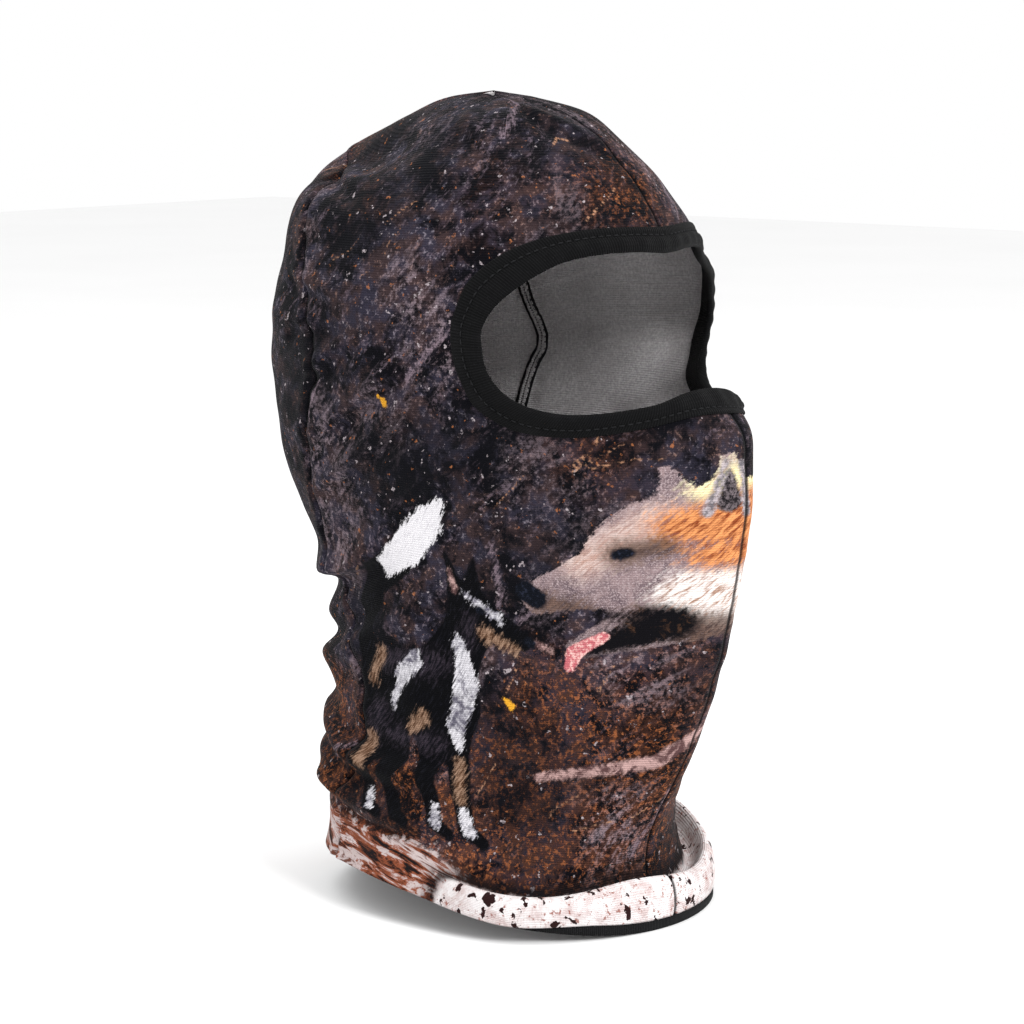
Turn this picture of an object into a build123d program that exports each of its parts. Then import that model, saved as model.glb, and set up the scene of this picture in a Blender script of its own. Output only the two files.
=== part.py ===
"""Full-face balaclava (hunting face mask) standing on its turned-up hem.

Frame: millimetres, +Z up, the face looks along -Y, the wearer's right side is -X.
The origin is under the middle of the garment, on the plane that the hem rests on.

The garment is one thin wall around a hollow head shape.  SECTIONS gives that shape as
a stack of superellipses; wall_point() walks down it from the crown and on through the
rolled lip at the hem.  Every sewn piece is a slice of that wall, or a layer laid
against it, so all pieces share the same surfaces and touch without overlapping.
"""
import math
import os

from build123d import *

# ---------------------------------------------------------------- driving dimensions
FABRIC = 1.2            # double-brushed jersey
TAPE = 1.0              # one layer of the eye binding or of the hem facing
THREAD = 0.8            # height of an overlock seam
NEEDLE = 0.4            # height of a row of needle thread
SEAM_HALF = 3.0         # half the width of an overlock seam
GAP = 0.02              # left between layers that are laid against each other
HEM_END = 3.0           # where the printed jersey stops above the resting plane
HEM_LIFT = 8.0          # how far the hem arches up at the sides of the neck
LIFT_REACH = 70.0       # the arch of the hem fades out at this height
FACING_STATIONS = 2     # how many stations of the lip the hem facing reaches up
POLE = 1.2              # half width of the spot at the crown that the wall closes on
MID_Y = -14.65          # shift that puts the origin under the middle of the garment

# Height, reach in front of the axis, reach behind it, half breadth, forward shift of
# the widest place, roundness in front and roundness behind (2 is an ellipse; less
# than 2 pulls the front into the ridge that the chin seam follows).
SECTIONS = [
    (23.0, 80.0, 72.0, 71.0, 10.0, 1.90, 2.00),
    (33.0, 82.0, 75.0, 69.0, 9.0, 1.75, 2.00),
    (47.0, 88.0, 76.0, 66.5, 7.0, 1.60, 2.00),
    (67.0, 99.0, 74.0, 64.0, 6.0, 1.50, 2.00),
    (91.0, 109.5, 71.0, 62.5, 6.0, 1.50, 2.00),
    (115.0, 117.5, 71.0, 62.0, 5.0, 1.50, 2.00),
    (135.0, 122.5, 76.0, 64.0, 3.0, 1.55, 2.05),
    (155.0, 127.0, 85.0, 67.5, 2.0, 1.65, 2.10),
    (177.0, 129.5, 93.0, 72.0, 0.0, 1.70, 2.10),
    (197.0, 129.0, 98.0, 75.0, 0.0, 1.70, 2.10),
    (214.0, 123.5, 100.0, 76.0, 0.0, 1.75, 2.10),
    (229.0, 111.0, 100.0, 76.5, 0.0, 1.85, 2.10),
    (247.0, 98.0, 99.0, 76.0, 0.0, 1.95, 2.10),
    (265.0, 91.0, 96.5, 73.0, 0.0, 2.00, 2.10),
    (283.0, 84.0, 93.0, 66.5, -1.0, 2.00, 2.10),
    (298.0, 74.0, 89.0, 56.0, -2.0, 2.00, 2.05),
    (310.0, 61.0, 78.0, 45.0, -2.0, 2.00, 2.00),
    (319.0, 48.0, 59.0, 35.0, -2.0, 2.00, 2.00),
    (326.0, 33.0, 39.0, 25.0, -2.0, 2.00, 2.00),
    (331.0, 17.0, 21.0, 14.0, -2.0, 2.00, 2.00),
    (333.5, POLE, POLE, POLE, 0.0, 2.00, 2.00),
]
TOP = SECTIONS[-1][0]

# The right half of the eye opening seen from the front (x, z): the outer and the inner
# edge of its binding.  The cut edge of the jersey lies between them, inside the tape.
BINDING_OUTER = [(0, 281), (16, 281.5), (32, 281), (46, 278), (57, 272), (65, 262.5),
                 (69.5, 249), (70.5, 236), (69.5, 223), (67, 212), (61, 204.5), (51, 203),
                 (36, 207), (18, 213.5), (0, 215.5)]
BINDING_INNER = [(0, 271.5), (16, 272.5), (31, 272), (43, 269.5), (53, 263.5), (61, 255),
                 (65.5, 245.5), (66.5, 236), (66, 226), (63, 217.5), (57, 212.5), (48, 212),
                 (33, 216.5), (17, 223), (0, 225)]
CUT_SHARE = 0.55        # share of the way from the outer edge to the inner one
JERSEY_CUT = [
    (x0 + (x1 - x0) * CUT_SHARE, z0 + (z1 - z0) * CUT_SHARE)
    for (x0, z0), (x1, z1) in zip(BINDING_OUTER, BINDING_INNER)
]
# The middle of the row of stitches on the binding, and half its width.
STITCH_INSET = 0.3      # share of the way from the outer edge to the cut edge
STITCH_HALF = 0.35
HEM_ROW = 7.0             # height of the stitching above the facing's foot
FOOT_CUT = 0.15           # the foot is trimmed flat by this much where it rests

# The back panel's seam seen from the side, from the hem up to the arch (y, z).
BACK_SEAM = [(34, -5), (36, 17), (26, 49), (19.5, 73), (21.5, 93), (30, 115), (40, 137),
             (42.5, 159), (43.5, 185), (38.5, 211), (33.5, 224), (40, 243), (46, 259),
             (51, 280), (55, 295), (60, 305), (68, 311), (78, 313.5), (120, 316)]

AZIMUTHS = [0, 4, 9, 16, 25, 37, 50, 64, 79, 94, 108, 122, 136, 150, 165, 180]

# ---------------------------------------------------------------- the wall
# Stations of the wall: the crown first, then down the head, through the valley, over
# the crest of the lip and down to the end of the cloth (distance out from the skirt,
# height).  At the back of the neck the lip runs out into a plain hem.
BODY_Z = [333.5, 332.6, 330.5, 327, 321.5, 314, 305, 294, 281, 266, 250, 233, 218, 203,
          185, 166, 147, 128, 109, 89, 69, 51, 36, 25]
LIP_ROLLED = [(1.0, 17.0), (3.4, 11.6), (6.6, 12.6), (8.4, 16.4), (10.8, 19.2),
              (13.6, 17.4), (15.2, 12.6), (15.6, 8.0), (15.0, HEM_END)]
LIP_PLAIN = [(0.0, 21.6), (0.1, 18.8), (0.3, 16.2), (0.6, 13.8), (1.0, 11.4),
             (1.5, 9.2), (2.0, 7.0), (2.4, 5.0), (2.8, HEM_END)]
STATIONS = len(BODY_Z) + len(LIP_ROLLED)
LAST = STATIONS - 1


def tangents(xs, ys):
    """Slopes of a smooth curve through the points that never overshoots them."""
    step = [(ys[i + 1] - ys[i]) / (xs[i + 1] - xs[i]) for i in range(len(xs) - 1)]
    out = [step[0]]
    for i in range(1, len(step)):
        if step[i - 1] * step[i] <= 0:
            out.append(0.0)
        else:
            out.append(2 * step[i - 1] * step[i] / (step[i - 1] + step[i]))
    out.append(step[-1])
    return out


HEIGHTS = [row[0] for row in SECTIONS]
COLUMNS = [[row[k] for row in SECTIONS] for k in range(1, 7)]
SLOPES = [tangents(HEIGHTS, column) for column in COLUMNS]


def section(z):
    """The six numbers of the section at a height."""
    i = 0
    while i < len(HEIGHTS) - 2 and z > HEIGHTS[i + 1]:
        i += 1
    h = HEIGHTS[i + 1] - HEIGHTS[i]
    t = min(max((z - HEIGHTS[i]) / h, 0.0), 1.0)
    values = []
    for column, slope in zip(COLUMNS, SLOPES):
        a, b = column[i], column[i + 1]
        p, q = slope[i] * h, slope[i + 1] * h
        values.append(
            a * (2 * t**3 - 3 * t**2 + 1)
            + p * (t**3 - 2 * t**2 + t)
            + b * (3 * t**2 - 2 * t**3)
            + q * (t**3 - t**2)
        )
    return values


def ring(z, azimuth, out=0.0):
    """A point of the section at height z; azimuth 0 is the face, 90 the right ear."""
    front, back, half, shift, n_front, n_back = section(z)
    co = math.cos(math.radians(azimuth))
    si = math.sin(math.radians(azimuth))
    reach, n = (front - shift, n_front) if co >= 0 else (back + shift, n_back)
    r = ((abs(co) / reach) ** n + (abs(si) / half) ** n) ** (-1 / n) + out
    return Vector(-r * si, -(shift + r * co) - MID_Y, z)


def smooth(t):
    t = min(max(t, 0.0), 1.0)
    return t * t * (3 - 2 * t)


def lift(azimuth, z):
    """How far the hem's arch raises a point."""
    arch = smooth((azimuth - 40) / 55) * smooth((178 - azimuth) / 55)
    return HEM_LIFT * arch * (1 - smooth(z / LIFT_REACH))


def wall_point(azimuth, station):
    """The outer face of the jersey at a station of the wall."""
    turn = azimuth % 360
    away = min(turn, 360 - turn)
    if station < len(BODY_Z):
        point = ring(BODY_Z[station], azimuth)
    else:
        rolled = 1 - 0.88 * smooth((away - 85) / 50)
        a = LIP_ROLLED[station - len(BODY_Z)]
        b = LIP_PLAIN[station - len(BODY_Z)]
        out = rolled * a[0] + (1 - rolled) * b[0]
        foot = ring(HEIGHTS[0], azimuth, out)
        point = Vector(foot.X, foot.Y, rolled * a[1] + (1 - rolled) * b[1])
    return point + Vector(0, 0, lift(away, point.Z))


def wall_normal(azimuth, station):
    """The outward direction of the jersey at a station."""
    if station == 0:
        return Vector(0, 0, 1)
    above = wall_point(azimuth, station - 1)
    below = wall_point(azimuth, min(station + 1, LAST))
    around = wall_point(azimuth + 1.5, station) - wall_point(azimuth - 1.5, station)
    normal = around.cross(below - above)
    if azimuth in (0, 180):
        normal = Vector(0, normal.Y, normal.Z)
    if station == LAST:
        normal = Vector(normal.X, normal.Y, 0)
    return normal.normalized()


WALL = {
    (azimuth, station): (wall_point(azimuth, station), wall_normal(azimuth, station))
    for azimuth in AZIMUTHS
    for station in range(STATIONS)
}


def layer_point(azimuth, station, depth):
    """A point at a depth under the outer face; a negative depth stands proud."""
    point, normal = WALL[azimuth, station]
    return point - normal * depth


def layer_edge(azimuth, depth):
    """The wall from crown to hem at one azimuth and depth, as one smooth curve."""
    points = [layer_point(azimuth, s, depth) for s in range(STATIONS)]
    return Edge.make_spline(points, parameters=[s / LAST for s in range(STATIONS)])


def layer(shallow, deep):
    """The right half of a layer of the wall between two depths."""
    profiles = []
    for azimuth in AZIMUTHS:
        outer = layer_edge(azimuth, shallow)
        inner = layer_edge(azimuth, deep)
        foot = Edge.make_line(outer @ 1, inner @ 1)
        head = Edge.make_line(outer @ 0, inner @ 0)
        profiles.append(Wire([outer, foot, inner, head]))
    return Solid.make_loft(profiles)


def mirrored(shape):
    return shape.mirror(Plane.YZ)


def front_prism(points):
    """The outline and its mirror image, closed, pushed forward through the face."""
    right = [Vector(-x, 0, z) for x, z in points]
    left = [Vector(x, 0, z) for x, z in points[-2:0:-1]]
    outline = Wire([Edge.make_spline(right + left, periodic=True)])
    return Solid.extrude(Face(outline), Vector(0, -200, 0))


def back_region(grow=0.0):
    """All that lies behind the back seam, grown forward by a distance."""
    edge = Edge.make_spline([Vector(0, y, z) for y, z in BACK_SEAM])
    seam = []
    for i in range(121):
        at = edge.position_at(i / 120)
        along = edge.tangent_at(i / 120)
        seam.append(at + Vector(0, -along.Z, along.Y) * grow - Vector(0, MID_Y, 0))
    line = Edge.make_spline(seam)
    corner = Vector(0, seam[-1].Y, seam[0].Z)
    sides = [Edge.make_line(line @ 1, corner), Edge.make_line(corner, line @ 0)]
    face = Face(Wire([line] + sides))
    return Solid.extrude(face, Vector(240, 0, 0)).moved(Location((-120, 0, 0)))


def block(x0, x1, y0, y1, z0, z1):
    return Solid.make_box(x1 - x0, y1 - y0, z1 - z0).moved(Location((x0, y0, z0)))


# ---------------------------------------------------------------- the sewn pieces
def panels():
    wall = layer(0, FABRIC)
    opening = front_prism(JERSEY_CUT)
    behind = back_region()
    plug = Solid.make_cylinder(POLE + 0.5, FABRIC - 0.3).moved(
        Location((0, -MID_Y, TOP - FABRIC + 0.15))
    )
    right = (wall - opening) - behind
    right = right + (plug & block(-10, 0, -60, 60, 0, 400))
    half = wall & behind
    return right, mirrored(right), half + mirrored(half)


def eye_binding(right, left):
    """Folded tape: both layers and the fold, with the jersey's edge inside it."""
    ring_region = front_prism(BINDING_OUTER) - front_prism(BINDING_INNER)
    thick = layer(-TAPE, FABRIC + TAPE) & ring_region
    return (thick - right) + (mirrored(thick) - left)


def between(outer, inner, share):
    return [
        (a[0] + (b[0] - a[0]) * share, a[1] + (b[1] - a[1]) * share)
        for a, b in zip(outer, inner)
    ]


def eye_thread():
    """The row of needle thread that holds the binding down, near its outer edge."""
    width = STITCH_HALF / 5.5
    a = front_prism(between(BINDING_OUTER, JERSEY_CUT, STITCH_INSET - width))
    b = front_prism(between(BINDING_OUTER, JERSEY_CUT, STITCH_INSET + width))
    front = layer(-TAPE - NEEDLE, -TAPE - GAP) & block(-100, 5, -200, 20, 190, 300)
    half = front & (a - b)
    return half + mirrored(half)


def seam_threads():
    """Overlock seams on the inside, along the four joins between the panels."""
    wall = layer(FABRIC + GAP, FABRIC + GAP + THREAD)
    clear = wall - front_prism(BINDING_OUTER)
    band = back_region(SEAM_HALF) - back_region(-SEAM_HALF)
    back = (clear & band) & block(-120, 0, -120, 160, 24, 400)
    split = 0.5 - MID_Y
    brow = wall & block(-SEAM_HALF, 5, -160, split, BINDING_OUTER[0][1] + 0.3, 400)
    nape = wall & block(-SEAM_HALF, 5, split, 160, 300, 400)
    crown = brow + (nape - back_region(SEAM_HALF + 0.3))
    chin = wall & block(-SEAM_HALF, 5, -160, 0, 26, BINDING_OUTER[-1][1] - 0.3)
    return crown + mirrored(crown), chin + mirrored(chin), back, mirrored(back)


def hem_facing(right, half_back):
    """Black tape inside the lip, with a foot under the end of the jersey."""
    profiles = []
    first = (LAST - FACING_STATIONS) / LAST
    for azimuth in AZIMUTHS:
        near = layer_edge(azimuth, FABRIC + GAP)
        far = layer_edge(azimuth, FABRIC + GAP + TAPE)
        shares = [first + (1 - first) * i / 6 for i in range(7)]
        up = [near.geom_adaptor().Value(share) for share in shares]
        down = [far.geom_adaptor().Value(share) for share in shares]
        up = [Vector(p.X(), p.Y(), p.Z()) for p in up]
        down = [Vector(p.X(), p.Y(), p.Z()) for p in down]
        end = layer_point(azimuth, LAST, 0)
        foot_out = end - Vector(0, 0, GAP)
        corner = Vector(up[-1].X, up[-1].Y, foot_out.Z)
        floor_out = Vector(end.X, end.Y, end.Z - HEM_END - FOOT_CUT)
        floor_in = Vector(down[-1].X, down[-1].Y, floor_out.Z)
        points = [up[0]] + up[1:-1] + [corner, foot_out, floor_out, floor_in]
        points += down[::-1][1:]
        profiles.append(Wire.make_polygon(points, close=True))
    half = Solid.make_loft(profiles) - right - half_back
    half = half - block(-120, 10, -150, 150, -5, 0)
    return half + mirrored(half)


def hem_thread(facing):
    """A row of stitching on the facing's inner face, parallel to its foot."""
    profiles = []
    for azimuth in AZIMUTHS:
        rolled = 1 - 0.88 * smooth((azimuth - 85) / 50)
        out = rolled * LIP_ROLLED[-2][0] + (1 - rolled) * LIP_PLAIN[-2][0]
        up = Vector(0, 0, HEM_ROW + lift(azimuth, HEM_ROW) - HEIGHTS[0])
        near = ring(HEIGHTS[0], azimuth, out + 0.5) + up
        far = ring(HEIGHTS[0], azimuth, out - 4.5) + up
        half = Vector(0, 0, STITCH_HALF)
        points = [near - half, near + half, far + half, far - half]
        profiles.append(Wire.make_polygon(points, close=True))
    under = FABRIC + 3 * GAP + TAPE
    half = Solid.make_loft(profiles) & layer(under, under + NEEDLE)
    half = half - facing
    return half + mirrored(half)


def build():
    right, left, back = panels()
    crown, chin, back_right, back_left = seam_threads()
    facing = hem_facing(right, back)
    return {
        "right_side_panel": right,
        "left_side_panel": left,
        "back_panel": back,
        "eye_opening_binding": eye_binding(right, left),
        "eye_binding_stitching": eye_thread(),
        "crown_seam_overlock": crown,
        "chin_seam_overlock": chin,
        "back_seam_overlock_right": back_right,
        "back_seam_overlock_left": back_left,
        "hem_facing": facing,
        "hem_facing_stitching": hem_thread(facing),
    }


if __name__ == "__main__":
    os.makedirs("parts", exist_ok=True)
    for name, shape in build().items():
        shape.label = name
        export_step(shape, f"parts/{name}.step")
        box = shape.bounding_box()
        print(f"{name:26s} {shape.volume:9.1f} mm3", box.min, box.max, len(shape.solids()))
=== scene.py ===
"""Full-face balaclava in printed stretch jersey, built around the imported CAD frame.

The wall of the garment is one surface: a stack of superellipses that runs on through
the rolled lip at the hem.  Panels, binding, seams and facing are all laid on it, and
one field of folds moves them together, so that they stay joined.
Lengths are millimetres until a mesh is made, and azimuths are degrees: 0 is the face,
positive is the wearer's right (-X), negative the wearer's left.
"""
import math

import bmesh
import bpy
import numpy as np
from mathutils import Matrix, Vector


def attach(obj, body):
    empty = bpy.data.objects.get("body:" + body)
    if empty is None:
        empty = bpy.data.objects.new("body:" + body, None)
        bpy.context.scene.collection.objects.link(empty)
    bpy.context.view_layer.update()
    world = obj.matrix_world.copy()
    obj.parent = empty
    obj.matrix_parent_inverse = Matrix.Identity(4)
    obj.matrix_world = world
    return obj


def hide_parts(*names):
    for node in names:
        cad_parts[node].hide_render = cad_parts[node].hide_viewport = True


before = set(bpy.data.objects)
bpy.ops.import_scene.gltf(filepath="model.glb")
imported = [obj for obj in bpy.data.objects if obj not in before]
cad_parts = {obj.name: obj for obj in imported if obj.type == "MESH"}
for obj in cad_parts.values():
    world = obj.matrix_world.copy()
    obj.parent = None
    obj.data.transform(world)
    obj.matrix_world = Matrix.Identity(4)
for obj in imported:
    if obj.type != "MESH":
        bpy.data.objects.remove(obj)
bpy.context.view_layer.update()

MM = 0.001
BODY = "root"

# ------------ driving dimensions
FABRIC = 1.2                # thickness of the jersey
TAPE = 1.0                  # thickness of one layer of binding or facing
STEP = 1.35                 # spacing of the points of the cloth
HEM_END = 3.0               # where the jersey stops above the floor
FOOT_SHOWN = 4.4            # height of the black foot under the jersey in front
POLE = 1.2                  # half width of the closed spot at the crown
MID_Y = -14.65              # the axis of the head lies at y = -MID_Y
X_PER_DEG = 1.45            # print millimetres for a degree of azimuth

# Height, reach in front, reach behind, half breadth, forward shift of the widest
# place, roundness in front and behind: the same sections as the CAD.
SECTIONS = np.array([
    (23, 80, 72, 71, 10, 1.9, 2),
    (33, 82, 75, 69, 9, 1.75, 2),
    (47, 88, 76, 66.5, 7, 1.6, 2),
    (67, 99, 74, 64, 6, 1.5, 2),
    (91, 109.5, 71, 62.5, 6, 1.5, 2),
    (115, 117.5, 71, 62, 5, 1.5, 2),
    (135, 122.5, 76, 64, 3, 1.55, 2.05),
    (155, 127, 85, 67.5, 2, 1.65, 2.1),
    (177, 129.5, 93, 72, 0, 1.7, 2.1),
    (197, 129, 98, 75, 0, 1.7, 2.1),
    (214, 123.5, 100, 76, 0, 1.75, 2.1),
    (229, 111, 100, 76.5, 0, 1.85, 2.1),
    (247, 98, 99, 76, 0, 1.95, 2.1),
    (265, 91, 96.5, 73, 0, 2, 2.1),
    (283, 84, 93, 66.5, -1, 2, 2.1),
    (298, 74, 89, 56, -2, 2, 2.05),
    (310, 61, 78, 45, -2, 2, 2),
    (319, 48, 59, 35, -2, 2, 2),
    (326, 33, 39, 25, -2, 2, 2),
    (331, 17, 21, 14, -2, 2, 2),
    (333.5, POLE, POLE, POLE, 0, 2, 2),
])
LIP_TOP = 25.0              # height where the skirt turns into the lip
LIP_ROLLED = np.array([(0, 25), (1, 17), (3.4, 11.6), (6.6, 12.6), (8.4, 16.4),
                       (10.8, 19.2), (13.6, 17.4), (15.2, 12.6), (15.6, 8), (15, HEM_END)])
LIP_PLAIN = np.array([(0, 25), (0, 21.6), (0.1, 18.8), (0.3, 16.2), (0.6, 13.8), (1, 11.4),
                      (1.5, 9.2), (2, 7), (2.4, 5), (2.8, HEM_END)])
BACK_SEAM = np.array([(34, -5), (36, 17), (26, 49), (19.5, 73), (21.5, 93), (30, 115),
                      (40, 137), (42.5, 159), (43.5, 185), (38.5, 211), (33.5, 224),
                      (40, 243), (46, 259), (51, 280), (55, 295), (60, 305), (68, 311),
                      (78, 313.5), (120, 316)], float)
BINDING_OUTER = np.array([(0, 281), (16, 281.5), (32, 281), (46, 278), (57, 272), (65, 262.5),
                          (69.5, 249), (70.5, 236), (69.5, 223), (67, 212), (61, 204.5), (51, 203),
                          (36, 207), (18, 213.5), (0, 215.5)], float)
BINDING_INNER = np.array([(0, 271.5), (16, 272.5), (31, 272), (43, 269.5), (53, 263.5), (61, 255),
                          (65.5, 245.5), (66.5, 236), (66, 226), (63, 217.5), (57, 212.5), (48, 212),
                          (33, 216.5), (17, 223), (0, 225)], float)


# ------------ curves
def smooth(t):
    t = np.clip(t, 0.0, 1.0)
    return t * t * (3 - 2 * t)


def slopes(x, y):
    """Slopes of a smooth curve that never overshoots its points."""
    step = np.diff(y, axis=0) / np.diff(x)[:, None]
    a, b = step[:-1], step[1:]
    inner = np.where(a * b > 0, 2 * a * b / np.where(a + b == 0, 1, a + b), 0)
    return np.vstack([step[:1], inner, step[-1:]])


def hermite(x, y, m, at):
    """The curve through (x, y) with slopes m, read at many places."""
    i = np.clip(np.searchsorted(x, at) - 1, 0, len(x) - 2)
    h = (x[i + 1] - x[i])[..., None]
    t = np.clip((at - x[i]) / (x[i + 1] - x[i]), 0, 1)[..., None]
    return (
        y[i] * (2 * t**3 - 3 * t**2 + 1)
        + m[i] * h * (t**3 - 2 * t**2 + t)
        + y[i + 1] * (3 * t**2 - 2 * t**3)
        + m[i + 1] * h * (t**3 - t**2)
    )


def run_along(path):
    """Distance along a path at each of its points."""
    return np.concatenate([[0], np.cumsum(np.linalg.norm(np.diff(path, axis=0), axis=1))])


def through(points, at, closed=False):
    """A Catmull-Rom curve through points (first axis), read at fractions 0 to 1."""
    n = len(points)
    if closed:
        p = np.concatenate([points[-1:], points, points[:2]])
        u = at * n
        i = np.clip(np.floor(u).astype(int), 0, n - 1)
    else:
        p = np.concatenate([2 * points[:1] - points[1:2], points, 2 * points[-1:] - points[-2:-1]])
        u = at * (n - 1)
        i = np.clip(np.floor(u).astype(int), 0, n - 2)
    t = (u - i).reshape(-1, *[1] * (points.ndim - 1))
    a, b, c, d = p[i], p[i + 1], p[i + 2], p[i + 3]
    return 0.5 * (2 * b + (c - a) * t + (2 * a - 5 * b + 4 * c - d) * t**2
                  + (3 * b - a - 3 * c + d) * t**3)


# ------------ the wall
HEIGHTS = SECTIONS[:, 0]
SHAPES = SECTIONS[:, 1:]
SHAPE_SLOPES = slopes(HEIGHTS, SHAPES)
TOP = HEIGHTS[-1]


def section(z):
    return np.moveaxis(hermite(HEIGHTS, SHAPES, SHAPE_SLOPES, np.clip(z, HEIGHTS[0], TOP)), -1, 0)


def ring(z, azimuth, out=0.0):
    """Points of the sections at heights z, as (..., 3)."""
    front, back, half, shift, n_front, n_back = section(z)
    co, si = np.cos(np.radians(azimuth)), np.sin(np.radians(azimuth))
    reach = np.where(co >= 0, front - shift, back + shift)
    n = np.where(co >= 0, n_front, n_back)
    r = ((np.abs(co) / reach) ** n + (np.abs(si) / half) ** n) ** (-1 / n) + out
    return np.stack([-r * si, -(shift + r * co) - MID_Y, z + 0 * r], -1)


def front_y(x, z):
    """The y of the face side of the wall at a place seen from the front."""
    front, _, half, shift, n_front, _ = section(z)
    across = np.clip(np.abs(x) / half, 0, 0.999) ** n_front
    return -(shift + (front - shift) * (1 - across) ** (1 / n_front)) - MID_Y


def lift(azimuth, z):
    """The hem rises clear of the floor round the right side, and a little at the nape."""
    right = 19.0 * smooth((azimuth - 5) / 115) * (1 - 0.6 * smooth((azimuth - 150) / 30))
    left = 5.8 * smooth((-azimuth - 100) / 80)
    return np.where(azimuth > 0, right, left) * (1 - smooth(z / 95.0))


def roll(azimuth):
    """How far the lip is rolled up: fully in front, and not at all behind."""
    right = 1 - smooth((azimuth - 46) / 40)
    left = 1 - 0.9 * smooth((-azimuth - 88) / 50)
    return np.where(azimuth > 0, right, left)


def foot_shown(azimuth):
    """How much of the facing's foot shows under the jersey: all of it in front."""
    return 1 - 0.92 * smooth((azimuth - 26) / 30) * (1 - smooth((azimuth - 174) / 6))


def back_seam_azimuth(z):
    """Azimuth of the back seam at each height (180 above its arch)."""
    line = through(BACK_SEAM, np.linspace(0, 1, 721))
    found = np.full(len(z), 180.0)
    for k, height in enumerate(z):
        test = np.linspace(88.0, 180.0, 369)
        y = ring(np.full(test.shape, height), test)[:, 1] + MID_Y
        seam = np.interp(height, line[:, 1], line[:, 0])
        inside = np.flatnonzero(y >= seam)
        if len(inside) and height < 313.4:
            found[k] = test[inside[0]]
    return found


class Rows:
    """The heights at which the wall is sampled: dense enough everywhere."""

    def __init__(self):
        z = np.linspace(TOP, LIP_TOP, 4000)
        track = np.stack([ring(z, np.full(z.shape, a)) for a in (0.0, 90.0, 180.0)])
        length = np.linalg.norm(np.diff(track, axis=1), axis=2).max(0)
        length *= np.where((z[1:] > 303) & (z[1:] < 314), 2.2, 1.0)
        run = np.concatenate([[0], np.cumsum(length)])
        count = int(run[-1] / STEP)
        self.z = np.interp(np.linspace(0, run[-1], count + 1), run, z)
        self.lip = np.linspace(0, 1, int(58 / STEP))[1:]
        self.count = len(self.z) + len(self.lip)
        lip_run = run_along(through(LIP_ROLLED, self.lip)) + STEP
        self.height = np.concatenate([self.z, LIP_TOP - lip_run])
        seam = back_seam_azimuth(self.z)
        self.seam = np.concatenate([seam, np.full(len(self.lip), seam[-1])])


ROWS = Rows()


def wall(azimuth):
    """Rest points of the wall: azimuth is (rows, columns)."""
    azimuth = np.broadcast_to(azimuth, (ROWS.count, azimuth.shape[-1]))
    n = len(ROWS.z)
    above, below = azimuth[:n], azimuth[n:]
    body = ring(ROWS.z[:, None] + 0 * above, above)
    body[..., 2] += lift(above, body[..., 2])
    turn = np.radians(azimuth[0])
    body[0] = (0, -MID_Y, TOP + 0.1)
    body[0] += 0.02 * np.stack([-np.sin(turn), -np.cos(turn), 0 * turn], -1)
    rolled = roll(below)[..., None]
    turn = np.radians(below)[..., None]
    slack = 1 + 0.10 * np.sin(3 * turn + 0.8) * rolled + 0.05 * np.sin(8 * turn) * rolled
    slack = slack - 0.42 * smooth((below[..., None] - 12) / 45) * rolled
    slack = slack + 0.62 * smooth((-below[..., None] - 20) / 50) * rolled
    path = rolled * through(LIP_ROLLED, ROWS.lip)[:, None]
    path = path + (1 - rolled) * through(LIP_PLAIN, ROWS.lip)[:, None]
    low = FOOT_SHOWN * foot_shown(below)
    high = HEM_END + (path[..., 1] - HEM_END) * slack[..., 0]
    share = np.clip((LIP_TOP - path[..., 1]) / (LIP_TOP - HEM_END), 0, 1)
    path = np.stack([path[..., 0], high + (low - HEM_END) * share**3], -1)
    lip = ring(np.full(below.shape, HEIGHTS[0]), below, path[..., 0])
    foot = ring(np.full(below.shape, LIP_TOP), below)
    ease = smooth(ROWS.lip / 0.12)[:, None, None]
    lip = foot * (1 - ease) + lip * ease
    lip[..., 2] = path[..., 1] + lift(below, path[..., 1])
    return np.concatenate([body, lip])


def turned_rows(azimuth, step):
    """The wall one row further down (or up), still at each row's own azimuth."""
    return np.roll(wall(np.roll(azimuth, step, 0)), -step, 0)


def wall_normals(azimuth):
    """Outward directions of the wall, the same for every piece that shares a place."""
    down = turned_rows(azimuth, 1) - turned_rows(azimuth, -1)
    down[0], down[-1] = down[1], down[-2]
    around = wall(azimuth + 0.6) - wall(azimuth - 0.6)
    normal = np.cross(around, down)
    normal /= np.maximum(np.linalg.norm(normal, axis=-1, keepdims=True), 1e-9)
    normal[0] = (0, 0, 1)
    return normal


def skin(azimuth, z):
    """The body of the wall and its outward directions at any azimuths and heights."""
    point = ring(z, azimuth)
    up = ring(z + 0.4, azimuth) - ring(z - 0.4, azimuth)
    around = ring(z, azimuth + 0.5) - ring(z, azimuth - 0.5)
    normal = np.cross(up, around)
    normal /= np.linalg.norm(normal, axis=-1, keepdims=True)
    point[..., 2] += lift(azimuth, z)
    return point, normal


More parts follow.
